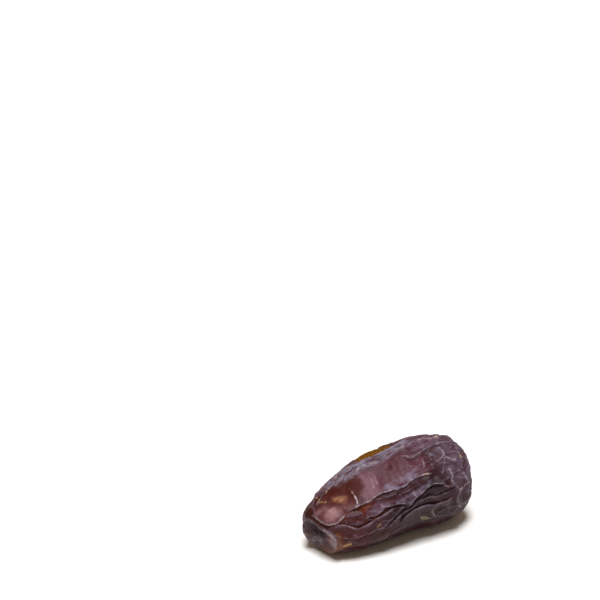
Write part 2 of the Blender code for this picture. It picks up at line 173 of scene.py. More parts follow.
lips = dict(
    panelFoot=dict(
        path=[(4.3, -8), (4.5, 6), (4.9, 24), (5.9, 43), (7.4, 55), (9.0, 60), (10.0, 59.5), (11.1, 56),
              (12.3, 51)],
        full="left", rise=0.6, furrow=0.3, width=0.7, reach=2.2, pale=2.3),
    middleFold=dict(
        path=[(11.3, 55), (12.2, 52), (13.4, 49), (14.9, 49), (16.4, 50), (17.4, 50), (18.8, 51),
              (20.1, 48.5), (21.8, 47.5), (23.8, 50), (25.5, 50.5), (26.5, 52), (27.4, 51), (29.1, 50),
              (30.8, 47.5), (33.2, 47.5), (34.7, 48), (36.4, 50), (39, 54)],
        full="left", rise=0.65, furrow=0.3, width=0.8, reach=2.6, pale=1.7),
    thinSkinEdge=dict(
        path=[(18.7, 0), (18.6, 8), (18.3, 15), (18.0, 22), (18.1, 29), (17.4, 36)],
        full="left", rise=0.14, furrow=0.2, width=0.5, edge=0.5, reach=1.6, pale=0.0),
    fingerFold=dict(
        path=[(31.9, 8), (31.8, 11), (32.6, 16), (33.7, 19.5), (34.9, 19), (36.4, 17), (38.2, 16),
              (40.1, 14.5), (41.9, 14), (45, 14)],
        full="left", rise=0.45, furrow=0.4, width=0.8, reach=1.2, pale=0.7),
    smallLobeEdge=dict(
        path=[(11.4, 69), (11.2, 64), (11.3, 59), (12.1, 54.5), (13.0, 52.5), (14.2, 53), (15.2, 57),
              (15.8, 62), (15.7, 69), (14.8, 75)],
        full="right", rise=0.22, furrow=0.4, width=0.4, edge=0.4, reach=1.0, pale=0.0),
    secondFold=dict(
        path=[(15.7, 66), (16.4, 70), (17.4, 68.5), (18.9, 71.5), (20.1, 71), (21.3, 69.5), (21.9, 67.5),
              (23.4, 69.5), (25.4, 69.5), (27, 71.5), (28.8, 75)],
        full="left", rise=0.6, furrow=0.55, width=0.45, reach=1.8, pale=0.6),
    secondFoldEnd=dict(
        path=[(28, 80), (29.1, 77), (30.2, 73), (31.2, 71), (32.6, 69), (33.9, 66), (34.9, 64.5), (36.1, 64),
              (37.4, 63), (38.8, 63.5), (40.4, 67)],
        full="left", rise=0.7, furrow=0.8, width=0.6, reach=1.6, pale=1.2),
    darkLine=dict(
        path=[(36.5, 77), (38.9, 75.5), (40.6, 75), (42.1, 73), (43.8, 72)],
        full="left", rise=0.3, furrow=0.7, width=0.4, reach=1.0, pale=0.3),
    lobeTop=dict(
        path=[(6.4, 62), (8.0, 61.5), (10.1, 65), (11.9, 72), (13.7, 80), (14.9, 81), (16.6, 80),
              (18.7, 76.5), (20.6, 76.5), (22.1, 75), (24.0, 73), (26, 74)],
        full="right", rise=0.55, furrow=0.5, width=0.45, reach=2.0, pale=0.5),
    lobeFoot=dict(
        path=[(11.5, 101), (13.2, 99), (16.2, 99), (18.0, 98), (19.9, 97), (21.4, 96), (22.3, 90), (24.1, 85),
              (26.2, 80), (27.5, 76), (29.1, 76)],
        full="left", rise=0.6, furrow=0.7, width=0.5, reach=1.9, pale=0.3),
    sliverTop=dict(
        path=[(21.9, 103), (23.3, 93), (25.2, 88), (27.3, 84), (29.1, 82), (31.1, 77.5), (33.3, 76),
              (35.7, 76), (38.1, 78), (40.8, 76.5), (43, 73)],
        full="right", rise=0.5, furrow=0.9, width=0.5, reach=1.0, pale=0.3),
    greyLobeTop=dict(
        path=[(26.0, 109), (26.7, 97), (27.6, 92), (29.6, 88), (32.1, 85.5), (34.3, 85.5), (36.6, 88),
              (38.7, 88), (40.7, 87), (43.0, 83)],
        full="right", rise=0.75, furrow=0.7, width=0.45, reach=2.4, pale=0.4),
    underFold=dict(
        path=[(9.5, 120), (13.8, 118), (16, 118), (20, 121), (23, 118), (31, 118), (36, 117), (41, 117),
              (47, 126)],
        full="left", rise=0.5, furrow=0.6, width=0.6, reach=1.8, pale=0.3))
bulges = dict(  # place, radius, height
    thinSkinHollow=((13.8, 13), 4.0, -0.55),
    panelHollow=((25, 27), 5.0, -0.4),
    panelPit=((27.9, 19), 0.5, -0.45),
    panelPearl=((27.2, 17), 0.55, 0.3),
    panelNick=((32.6, 43), 0.8, -0.35),
    stemShoulderHollow=((12.5, -32), 4.5, -0.8),
    stemShoulder=((4.4, -50), 3.4, 0.85),
    tipShoulderHollow=((53, -20), 5.0, -0.3),
    tipShoulder=((50.5, 8), 3.4, 0.35),
    tipLowHollow=((50, 88), 4.0, -0.7),
    patchSwelling=((27, -38), 5.0, 0.8),
    underHollow=((33, 121), 6.0, -1.1),
    pinkSwelling=((9.0, 42), 2.4, 0.45),
    smallLobeDimple=((14.0, 64), 0.55, -0.45),
    bandLump=((26.5, 62), 1.6, 0.3),
    bandLump2=((34.8, 55), 1.3, 0.35),
    bandLump3=((18.4, 60), 1.3, 0.3),
    lobeDent=((14.6, 90), 1.5, -0.35),
    lobeDent2=((18.5, 86), 1.2, -0.3),
    greyDent=((32.5, 98), 1.6, -0.35),
    curlHollow=((38.6, 97), 1.5, -0.5),
    endHollow=((47.5, 92), 2.0, -0.5),
    deepCorner=((38.5, 74), 2.2, -0.35),
    deepLump=((36.5, 78), 0.9, 0.3),
    lowFlap=((21.5, 116), 1.1, 0.45))
farFolds = dict(
    seed=11, count=10, round=(142, 322), start=(6, 14), stop=(46, 55), places=7, wander=7,
    rise=(0.6, 1.1), furrow=(0.5, 1.0), reach=(1.6, 2.6))
foldShape = dict(
    lipEdge=0.38,  # a lip falls into its furrow over this distance
    furrowWidth=0.55, furrowShare=0.5,  # the fine skin's furrows are narrower than the solid's, so shallower
    crestRoundness=0.15, endShare=0.12, merging=3,
    fallPower=1.5,  # more than 1 keeps a lip full near its edge and a furrow wide at its bottom
    pale=0.5, beadRise=0.05, beadWidth=0.16,  # the thin hard line along each crest and lip, raised a little and painted pale: dry skin edge and painted highlight together
    overhang=0.08, overhangReach=0.5)  # how far a lip leans out over its furrow, and how much of it does


def drawFarFolds():  # the folds of the side that faces away and down, each with its own values
    draw = random.Random(farFolds["seed"])
    folds = []
    for angle in np.linspace(*farFolds["round"], farFolds["count"]):
        path = []
        start = draw.uniform(*farFolds["start"])
        stop = draw.uniform(*farFolds["stop"])
        for along in np.linspace(start, stop, farFolds["places"]):
            angle += draw.uniform(-farFolds["wander"], farFolds["wander"])
            path.append((along, angle))
        folds.append(dict(
            path=path, full=draw.choice(["left", "right"]), rise=draw.uniform(*farFolds["rise"]),
            furrow=draw.uniform(*farFolds["furrow"]), reach=draw.uniform(*farFolds["reach"])))
    return folds


def foldLine(path, steps=12):  # a smooth line on the body through the places of a path
    places = np.array(path, float)
    ends = np.vstack([2 * places[0] - places[1], places, 2 * places[-1] - places[-2]])
    t = np.linspace(0, 1, steps, endpoint=False)[:, None]
    line = []
    for a, b, c, d in zip(ends, ends[1:], ends[2:], ends[3:]):
        line.append(0.5 * (2 * b + (c - a) * t + (2 * a - 5 * b + 4 * c - d) * t**2
                           + (3 * b - a - 3 * c + d) * t**3))
    line.append(places[-1:])
    line = np.vstack(line)
    return bodyPoint(line[:, 0], np.radians(line[:, 1]))


# Distance from the line, positive on its left, how much of the fold is left there, and the way to the left
def fromLine(points, normals, line, farthest=9.0, chunk=4096):
    start, step = line[:-1], np.diff(line, axis=0)
    length = np.linalg.norm(step, axis=1)
    passed = np.concatenate([[0], np.cumsum(length)])
    distance = np.full(len(points), farthest)
    alive = np.zeros(len(points))
    left = np.zeros((len(points), 3))
    close = ((points > line.min(0) - farthest) & (points < line.max(0) + farthest)).all(1).nonzero()[0]
    for first in range(0, len(close), chunk):
        rows = close[first:first + chunk]
        offset = points[rows, None] - start[None]
        t = np.clip((offset * step).sum(-1) / length**2, 0, 1)
        away = offset - t[..., None] * step
        gap = np.linalg.norm(away, axis=-1)
        nearest = gap.argmin(1)
        row = np.arange(len(rows))
        side = np.cross(normals[rows], step[nearest])
        side /= np.linalg.norm(side, axis=1, keepdims=True)
        share = (passed[nearest] + t[row, nearest] * length[nearest]) / passed[-1]
        distance[rows] = gap[row, nearest] * np.sign((away[row, nearest] * side).sum(-1))
        alive[rows] = between(share, (0, 1), foldShape["endShare"])
        left[rows] = side
    return distance, alive, left


def merged(heights):  # folds that meet merge instead of piling up
    power = foldShape["merging"]
    return (np.stack(heights) ** power).sum(0) ** (1 / power)


wander = ((0.55, 6.5), (0.2, 2.4), (0.05, 0.9))  # how far, and over what distance
wanderSeed = 5  # the same as the solid's; without a seed, each run has its own noise
ripples = ((0.14, (1.7, 3.6, 3.6)), (0.07, (0.9, 1.5, 1.5)))  # height, and size along, across and up


def wandered(points):  # the points moved a little, so that folds waver
    moved = points.copy()
    noise.seed_set(wanderSeed)
    for amount, distance in wander:
        moved += amount * np.array([noise.noise_vector(Vector(p / distance)) for p in points])
    return moved


def rippled(points):  # the soft uneven swelling of the whole skin
    height = np.zeros(len(points))
    for rise, size in ripples:
        height += rise * np.array([noise.noise(Vector(p)) for p in points / size])
    return height


def placeOf(points, every=8, chunk=4096):  # the place on the skin that each point is over
    share = np.clip(points[:, 0] / (body["length"] / 2), -1, 1)
    up = points[:, 2] - body["axisArch"] * (1 - share**2) - body["axisRise"] * share
    across = np.hypot(points[:, 1], up)
    along = np.empty(len(points))
    skinAlong, skinX, skinRadius = (values[::every] for values in outline)
    for first in range(0, len(points), chunk):
        rows = slice(first, first + chunk)
        gap = (points[rows, 0, None] - skinX) ** 2 + (across[rows, None] - skinRadius) ** 2
        along[rows] = skinAlong[gap.argmin(1)]
    return along, np.degrees(np.arctan2(-points[:, 1], up))


nets = (  # the net of wrinkles: size of its meshes along and across, rise, width and roundness of its ridges
    dict(mesh=(8.5, 3.2), rise=0.62, width=0.24, soft=0.07, panelShare=0.12, ends=(8, 12)),
    dict(mesh=(3.4, 1.5), rise=0.20, width=0.22, soft=0.10, panelShare=0.06, ends=(9, 6)),
    dict(mesh=(5.5, 0.95), rise=0.14, width=0.25, soft=0.10, panelShare=0.0, ends=(9, 6)))
panel = dict(along=(7, 33), round=(4, 47), fade=(3, 5))  # the smooth panel below the top ridge


def wrinkleNet(points, along, angle, net):  # ridges where the cells of a stretched pattern meet
    length, width = net["mesh"]
    heights = np.empty(len(points))
    for i, point in enumerate(points / (length, width, width)):
        nearest = noise.voronoi(Vector(point))[0]
        heights[i] = math.exp(-math.hypot(nearest[1] - nearest[0], net["soft"]) / net["width"])
    onPanel = (between(along, panel["along"], panel["fade"][0])
               * between(np.degrees(angle), panel["round"], panel["fade"][1]))
    ends = smoothStep(along / net["ends"][0]) * smoothStep((skinLength - along) / net["ends"][1])
    return net["rise"] * heights * (1 + (net["panelShare"] - 1) * onPanel) * ends


flecks = dict(  # dried sugar that has come through the skin
    rise=0.08, width=0.19,
    paths=[[(8.5, -30), (8.9, -27)], [(8.1, -17), (8.6, -13)], [(7.5, -12), (8.0, -3), (8.6, 4)],
           [(8.9, 6), (9.2, 9)], [(12.0, -25), (12.4, -23)], [(11.0, -17), (11.4, -15)],
           [(2.7, -126), (3.1, -130)], [(19.2, 92), (20.2, 89)], [(44.4, 2), (44.9, 4)],
           [(48.1, 35), (48.3, 39)], [(35.1, 48), (36.0, 50)], [(10.6, 119), (11.4, 115), (12.5, 111.5)]],
    # those of the far side, with their slant in degrees round for each mm
    farCount=14, farSeed=5, farAlong=(8, 50), farRound=(190, 335), farLength=(0.4, 1.1), farSlant=5)


def fleckPaths():
    draw = random.Random(flecks["farSeed"])
    paths = list(flecks["paths"])
    for _ in range(flecks["farCount"]):
        along, around = draw.uniform(*flecks["farAlong"]), draw.uniform(*flecks["farRound"])
        length, turn = draw.uniform(*flecks["farLength"]), draw.uniform(0, math.pi)
        slant = flecks["farSlant"] * length * math.sin(turn)
        paths.append([(along, around), (along + length * math.cos(turn), around + slant)])
    return paths


def sugarShare(points, normals):  # 1 on a fleck, fading beside it
    share = np.zeros(len(points))
    for path in fleckPaths():
        distance, alive, _ = fromLine(points, normals, foldLine(path, steps=4), farthest=1.0)
        share = np.maximum(share, (alive > 0) * np.exp(-((distance / flecks["width"]) ** 2)))
    return share


dish = dict(
    place=(2.7, 105), radius=5.0, depth=1.9, slope=1.6, rim=0.8, rimWidth=0.5, reach=14.0,
    # degrees round the dish, spread, how far its rim is pulled out there, and how much it is raised
    pulls=[(97, 55, -1.6, -0.6), (-58, 35, 0.7, 0.0), (180, 50, 0.0, 0.3), (30, 40, 0.4, 0.6)],
    flap=((7.0, 112), 1.5, 0.9), floor=((1.6, 20), 2.2, -0.6),  # place, radius, height
    scarRadius=1.4, scarRise=0.4, waver=0.3, waverLength=3.0, waverFrom=2,
    # small folds that run out from the scar, and how much they twist
    pleats=9, pleatRise=0.09, pleatTwist=2.5, pleatFrom=1.2, pleatTo=6.4, pleatFade=1.6,
    creaseMesh=2.4, creaseRise=0.3, creaseWidth=0.25, creaseSoft=0.08, creaseFade=1.5)


def dishHeight(points):  # the height of the dish, and how far each point is in it and on its rim
    centre = placePoint(dish["place"])
    facing = bodyNormal(np.array([dish["place"][0]]), np.radians([dish["place"][1]]))[0]
    sideways = np.cross(facing, (0, 0, 1))
    sideways /= np.linalg.norm(sideways)
    upwards = np.cross(sideways, facing)
    offset = points - centre
    gap = np.linalg.norm(offset - np.outer(offset @ facing, facing), axis=1)
    atStem = smoothStep((-body["length"] / 2 + dish["reach"] - points[:, 0]) / dish["radius"])
    near = (atStem > 0).nonzero()[0]
    creases = np.zeros(len(points))
    for i in near:
        waver = dish["waver"] * noise.noise(Vector(points[i] / dish["waverLength"]))
        gap[i] += waver * min(1, gap[i] / dish["waverFrom"])
        nearest = noise.voronoi(Vector(points[i] / dish["creaseMesh"]))[0]
        creases[i] = math.exp(-math.hypot(nearest[1] - nearest[0], dish["creaseSoft"]) / dish["creaseWidth"])
    turn = np.arctan2(offset @ upwards, offset @ sideways)
    radius = np.full(len(points), dish["radius"])
    rim = np.full(len(points), dish["rim"])
    for middle, spread, pull, raised in dish["pulls"]:
        away = (np.degrees(turn) - middle + 180) % 360 - 180
        radius += pull * np.exp(-((away / spread) ** 2))
        rim += raised * np.exp(-((away / spread) ** 2))
    pleats = np.cos(turn * dish["pleats"] + dish["pleatTwist"] * np.sin(turn * 2 + 1)) * dish["pleatRise"]
    pleats *= between(gap, (dish["pleatFrom"], dish["pleatTo"]), dish["pleatFade"])
    bowl = -dish["depth"] * smoothStep((radius - gap) / dish["slope"])
    edge = np.exp(-(((gap - radius) / dish["rimWidth"]) ** 2))
    scar = dish["scarRise"] * np.exp(-((gap / dish["scarRadius"]) ** 4))
    inside = smoothStep((radius + dish["rimWidth"] - gap) / dish["rimWidth"])
    creases *= dish["creaseRise"] * smoothStep((radius - gap) / dish["creaseFade"])
    height = bowl + edge * rim + scar + pleats + creases
    for place, reach, rise in (dish["flap"], dish["floor"]):
        away = np.linalg.norm(points - placePoint(place), axis=1)
        height += rise * np.exp(-((away / reach) ** 2))
    return height * atStem * inside, inside * atStem, edge * atStem


barePatch = dict(
    depth=0.35, edge=0.7,
    places=[(22.6, -35), (22.9, -21), (24.2, -18), (25.6, -13), (27.3, -14), (29.1, -12), (31.4, -15),
            (34.2, -25), (33.6, -38), (31, -47), (27, -50), (24, -45)])
pressed = dict(folds=0.25, along=(8, 54), round=(140, 220), fade=(6, 20), depth=0.5)  # the underside
markShape = dict(  # how the marks that the colours follow are measured
    # how often the relief is smoothed to tell its swellings from its hollows, on a mesh of so many cells
    fineRounds=4, coarseRounds=60, roundsCells=64,
    swell=0.4, ridgeFrom=0.01, ridgeFull=0.06,  # the height at which a mark is full
    warmFurrowStop=29, warmFurrowFade=9, stemStop=26, stemFade=14,  # mm from the stem end
    # the regions' uneven edges, in mm along and degrees round
    unevenSize=1.3, unevenRise=0.14, waverAlong=0.3, waverRound=2,
    lowBodyHold=0.6, greySideHold=0.8, tipHollowHold=0.45)  # how much a region holds a mark back


def skin(along, angle):  # the finished skin's points, and what the finish needs to know about each
    points = bodyPoint(along, angle)
    normals = bodyNormal(along, angle)
    inDishHeight, inDish, onRim = dishHeight(points)
    moved = wandered(points)
    netHeights = [wrinkleNet(moved, along, angle, net) for net in nets]
    ups, downs = [netHeights[0]], []
    beads = np.zeros(len(points))
    furrows = np.zeros(len(points))
    lean = np.zeros((len(points), 3))
    for fold in crests.values():
        distance, alive, _ = fromLine(moved, normals, foldLine(fold["path"]))
        soft = fold.get("soft", foldShape["crestRoundness"])
        ups.append(alive * fold["rise"] * np.exp(-(np.hypot(distance, soft) - soft) / fold["reach"]))
        beadWidth = max(foldShape["beadWidth"], soft)
        bead = alive * np.exp(-((distance / beadWidth) ** 2)) * fold.get("pale", foldShape["pale"])
        beads = np.maximum(beads, bead)
    for fold in [*lips.values(), *drawFarFolds()]:
        distance, alive, left = fromLine(moved, normals, foldLine(fold["path"]))
        if fold["full"] == "right":
            distance, left = -distance, -left
        edge = fold.get("edge", foldShape["lipEdge"])
        drop = smoothStep(0.5 - distance / edge)
        behind = np.clip(distance - edge / 2, 0, None)
        beyond = np.clip(-distance - edge / 2, 0, None)
        fullness = np.exp(-((behind / fold["reach"]) ** foldShape["fallPower"]))
        ups.append(alive * fold["rise"] * fullness * (1 - drop))
        width = fold.get("width", foldShape["furrowWidth"])
        low = alive * np.exp(-((beyond / width) ** foldShape["fallPower"])) * drop
        downs.append(low * fold["furrow"] * foldShape["furrowShare"])
        # how deep each point lies in a furrow, by which the colours darken it as painted shade
        furrows = np.maximum(furrows, low**2 * min(1, fold["furrow"]))
        bead = alive * np.exp(-(((distance - edge / 2) / foldShape["beadWidth"]) ** 2))
        beads = np.maximum(beads, bead * fold.get("pale", foldShape["pale"]))
        strength = alive * (1 - drop) * np.exp(-behind / foldShape["overhangReach"]) * min(1, fold["rise"])
        lean -= left * strength[:, None] * foldShape["overhang"]
    height = merged(ups) - merged(downs) + sum(netHeights[1:]) + beads * foldShape["beadRise"]
    form = height.copy()
    height += rippled(moved)
    for place, radius, rise in bulges.values():
        gap = np.linalg.norm(moved - placePoint(place), axis=1)
        height += rise * np.exp(-((gap / radius) ** 2))
    sugar = sugarShare(moved, normals)
    movedAlong, movedRound = placeOf(moved)
    bare = regionShare(movedAlong, movedRound, barePatch["places"], barePatch["edge"])
    height -= barePatch["depth"] * bare
    under = (between(along, pressed["along"], pressed["fade"][0])
             * between(np.degrees(angle) % 360, pressed["round"], pressed["fade"][1]))
    height *= 1 + (pressed["folds"] - 1) * under
    height = height * (1 - inDish) + inDishHeight + sugar * flecks["rise"]
    lean *= ((1 - inDish) * (1 - under))[:, None]
    facts = dict(
        height=height, form=form * (1 - inDish), bead=beads * (1 - inDish), furrow=furrows * (1 - inDish),
        bare=bare, dish=inDish, dishEdge=onRim, sugar=sugar, along=movedAlong, round=movedRound,
        uneven=rippled(points * markShape["unevenSize"]) / markShape["unevenRise"])
    return points + normals * height[:, None] + lean, facts


def restOnFloor(points):  # pressed flat underneath, and centred as the solid is
    low, high = points.min(0), points.max(0)
    shift = np.array([(low[0] + high[0]) / 2, (low[1] + high[1]) / 2, low[2] + pressed["depth"]])
    resting = points - shift
    resting[:, 2] = np.clip(resting[:, 2], 0, None)
    return resting


def fitted(points):  # brought to the solid's box, which the finer folds overstep a little
    low, high = np.array(cadBox) / mm
    own = np.ptp(points, axis=0)
    print("finer skin against the solid's box:", np.round(own / (high - low), 4))
    return points * (high - low) / own


def neighbourMean(values, edges, count, rounds):  # values blurred over the mesh
    ends = np.bincount(edges.ravel(), minlength=count)
    for _ in range(rounds):
        total = (np.bincount(edges[:, 0], values[edges[:, 1]], count)
                 + np.bincount(edges[:, 1], values[edges[:, 0]], count))
        values = 0.5 * values + 0.5 * total / ends
    return values


# 1 inside an outline of places, fading over its edge; a degree round is about 0.2 mm of skin
def regionShare(along, degrees, outlinePlaces, fade, degreeLength=0.2, tiny=1e-12):
    x, y = along, degrees * degreeLength
    corners = np.array(outlinePlaces, float) * (1, degreeLength)
    inside = np.zeros(len(x), bool)
    gap = np.full(len(x), np.inf)
    for (ax, ay), (bx, by) in zip(corners, np.roll(corners, -1, 0)):
        crosses = ((ay > y) != (by > y)) & (x < (bx - ax) * (y - ay) / (by - ay + tiny) + ax)
        inside ^= crosses
        t = np.clip(((x - ax) * (bx - ax) + (y - ay) * (by - ay)) / ((bx - ax) ** 2 + (by - ay) ** 2), 0, 1)
        gap = np.minimum(gap, np.hypot(x - ax - t * (bx - ax), y - ay - t * (by - ay)))
    return smoothStep(0.5 + np.where(inside, gap, -gap) / fade)


# Where the skin looks different, as outlines of places on it; a few hold painted shade or a painted
# highlight, as noted
regions = dict(
    thinSkin=dict(fade=1.5, places=[
        (10.5, -10), (12.6, -6), (14.2, -2), (15.7, 1), (18.2, 8), (18.8, 12), (18.6, 20), (19, 27),
        (17.2, 29), (16.3, 36), (14.6, 42), (12.8, 42), (10.9, 28), (8.5, 18), (7.2, 6), (8.5, -4)]),
    # the thin skin's red, darker just below the top ridge, partly as painted shade there
    deepRed=dict(fade=2.0, places=[
        (13.3, -2), (15.0, -1), (17.4, 5), (18.9, 12), (18.3, 21), (18.3, 29), (17.3, 31), (15.9, 17),
        (14.6, 10), (13.2, 9), (11.6, 2), (10.9, -12)]),
    amberSpot=dict(fade=1.5, places=[
        (10.9, 9), (11.7, 10), (12.8, 17), (13.6, 27), (12.8, 31), (11.5, 24), (10.8, 16)]),
    panelTip=dict(fade=2.0, places=[
        (4.8, -4), (6.2, 2), (8.5, 16), (10.4, 28), (12.6, 36), (14.5, 44), (12.6, 50), (9.8, 60), (8.6, 61),
        (7.4, 58), (5.8, 43), (4.9, 24)]),
    # a painted pink highlight where light catches the panel's foot
    pinkCore=dict(fade=2.6, places=[(7.4, 30), (9.1, 27), (10.3, 36), (10.4, 46), (8.9, 50), (7.6, 43)]),
    # painted shade in the gap under the middle fold
    redGap=dict(fade=0.9, places=[
        (9.2, 66), (11.5, 61), (13, 55), (14.5, 51), (17, 49.5), (19.5, 53), (18.1, 57), (16.3, 62),
        (15.6, 57), (14.2, 54), (12.6, 58), (11.6, 64), (10.2, 67)]),
    orangeGap=dict(fade=0.8, places=[
        (15.2, 52), (17.0, 50.5), (18.4, 52), (17.6, 55), (16.9, 58), (16.5, 65), (16.1, 68), (15.9, 58)]),
    lipLine=dict(fade=0.7, places=[
        (8.3, 80), (9.0, 84), (9.8, 95), (10.0, 108), (10.6, 107), (10.2, 93), (9.3, 82), (8.6, 77)]),
    amber=dict(fade=0.8, places=[
        (8.1, -67), (6.0, -36), (5.2, -10), (4.9, 6), (5.1, 24), (5.9, 43), (7.5, 57), (9.2, 61.5), (8.4, 64),
        (6.4, 62), (4.6, 42), (3.7, 20), (3.4, 0), (3.4, -29), (5.9, -70)]),
    lipBelow=dict(fade=0.7, places=[
        (8.5, 80), (9.4, 89), (9.8, 102), (10.1, 109), (11.5, 107), (12.8, 111), (13.0, 123), (11.2, 127),
        (9.8, 142), (9.8, 166), (9.0, 176), (8.5, 147), (8.6, 120), (8.7, 99), (8.5, 88)]),
    tanFlap=dict(fade=1.0, places=[(19.6, 123), (20.8, 110), (22.8, 107), (23.4, 114), (22.4, 123)]),
    tanPatch=dict(fade=0.8, places=[(33.4, 109), (35.0, 110), (36.4, 116), (36.0, 121), (34.2, 118)]),
    # the upper band: waxy bloom in streaks together with a painted bluish sheen
    bloomSheenBand=dict(fade=2.0, places=[
        (11, -26), (14, -8), (16.5, 1), (19.5, 4), (24, 6), (28, 6), (32, 2), (36, -3), (37, -14), (34, -24),
        (28, -18), (23, -24), (20, -44), (14, -44)]),
    topBand=dict(fade=2.5, places=[
        (33, 4), (38, 14), (46, 10), (52, 0), (50, -22), (42, -30), (36, -26), (35, -12)]),
    tip=dict(fade=5.0, places=[
        (46, -20), (48, 0), (40, 17), (40, 30), (39.5, 44), (42.5, 60), (44, 78), (47, 96), (55, 100),
        (58, 30), (56, -30)]),
    bluePanel=dict(fade=1.6, places=[
        (21.9, 47), (23.3, 40), (27.3, 37), (31.4, 38), (33.8, 37), (36.4, 44), (34.1, 48), (30.9, 48),
        (26.1, 52), (23.1, 51)]),
    palePanel=dict(fade=1.6, places=[
        (19.0, 6), (21.0, 7), (22.5, 12), (22.7, 26), (21.7, 43), (19.2, 49), (17.0, 47), (17.6, 36),
        (19.2, 28), (18.8, 17)]),
    panelDark=dict(fade=3.0, places=[
        (24.3, 11), (29.1, 13), (32.2, 17), (34.6, 22), (30.3, 31), (26.4, 30), (23.8, 26)]),
    mauvePanel=dict(fade=3.0, places=[(17, 8), (22, 6), (33, 6), (38, 20), (37, 44), (28, 50), (17, 48)]),
    # the top of the band under the middle fold, darkened there as painted shade
    bandTop=dict(fade=1.2, places=[
        (20.5, 52), (23, 54), (26.1, 56), (30.3, 53), (32.9, 51), (37.8, 53), (36.4, 56), (30.3, 60),
        (25.7, 62.5), (21.9, 59)]),
    bandLow=dict(fade=1.2, places=[
        (25.4, 66), (29.1, 62.5), (31.8, 61), (34.2, 57), (36.5, 57.5), (34.4, 62), (31.4, 68), (29.1, 73),
        (26.1, 69)]),
    bandLeft=dict(fade=1.2, places=[
        (17.6, 62), (19, 56), (21.5, 58), (24.5, 64), (23.5, 69), (20.5, 72), (18.4, 66)]),
    lobe=dict(fade=2.0, places=[
        (8, 67), (12, 74), (15, 81), (20, 78), (23, 78), (21, 92), (14, 97), (9.5, 84)]),
    darkEnd=dict(fade=1.5, places=[
        (31, 76), (33.5, 68), (36, 62), (38.3, 64), (41, 71), (43.1, 78), (41.9, 86), (39.8, 86), (35.8, 83),
        (30, 83)]),
    lowBody=dict(fade=2.5, places=[
        (9.5, 112), (11, 103), (16, 102), (21, 100), (25, 106), (25, 122), (10, 128)]),
    greySide=dict(fade=3.0, places=[
        (25.4, 100), (28, 90), (34, 86), (42, 86), (48, 92), (50, 120), (44, 135), (32, 135), (26, 122)]))

spots = dict(  # the same for the dish: places, and how far each reaches in mm; the floor spots hold painted shade, the flap spots a painted highlight
    dishFloorShade=dict(reach=1.7, places=[(1.4, -18), (0.5, 51), (3.0, 60)]),
    dishStreaks=dict(reach=1.3, places=[(5.3, 175), (4.2, -160), (4.0, 150)]),
    dishFlap=dict(reach=1.3, places=[(7.0, 104), (6.4, 88)]),
    dishFlapEdge=dict(reach=0.45, places=[
        (8.1, 94), (7.6, 86), (6.9, 80), (6.0, 74), (5.2, 68), (8.3, 102), (8.2, 110)]),
    lipUnder=dict(reach=1.2, places=[(8.1, 166), (8.2, 150), (8.6, 136)]))


def skinMarks(facts, edges, cells):  # what the colours follow, from 0 to 1 or a little more, painted shade and sheen among them
    shape, height, along, count = markShape, facts["height"], facts["along"], len(facts["height"])
    finer = neighbourMean(facts["form"], edges, count, shape["fineRounds"] * cells // shape["roundsCells"])
    coarser = neighbourMean(height, edges, count, shape["coarseRounds"] * cells // shape["roundsCells"])
    marks = {name: facts[name] for name in ("bead", "furrow", "bare", "dish", "sugar")}
    marks["dishEdge"] = facts["dishEdge"] ** 2
    # painted shade: how far each point lies below the smoothed relief, by which the colours darken its
    # hollows
    marks["hollow"] = np.clip((coarser - height) / shape["swell"], 0, 1)
    marks["warmFurrow"] = smoothStep((shape["warmFurrowStop"] - along) / shape["warmFurrowFade"])
    marks["stem"] = smoothStep((shape["stemStop"] - along) / shape["stemFade"])
    unevenPlace = (along + shape["waverAlong"] * facts["uneven"],
                   facts["round"] + shape["waverRound"] * facts["uneven"])
    for name, region in regions.items():
        marks[name] = regionShare(*unevenPlace, region["places"], region["fade"])
    openSkin = (1 - shape["lowBodyHold"] * marks["lowBody"]) * (1 - marks["thinSkin"]) * (1 - marks["amber"])
    openSkin = openSkin * (1 - shape["greySideHold"] * marks["greySide"]) * (1 - marks["darkEnd"])
    marks["hollow"] *= 1 - shape["tipHollowHold"] * marks["tip"]
    # painted shade in the hollows near the stem, redder there
    marks["stemHollowShade"] = marks["stem"] * marks["hollow"]
    # painted sheen and highlight: swellings, and ridge tops most of all on the tip, take the bloom colour
    # where light catches them
    marks["swellSheen"] = openSkin * np.clip((height - coarser) / shape["swell"], 0, 1)
    ridge = (facts["form"] - finer - shape["ridgeFrom"]) / shape["ridgeFull"]
    marks["ridgeHighlight"] = openSkin * np.clip(ridge, 0, 1) * (1 + marks["tip"])
    return marks


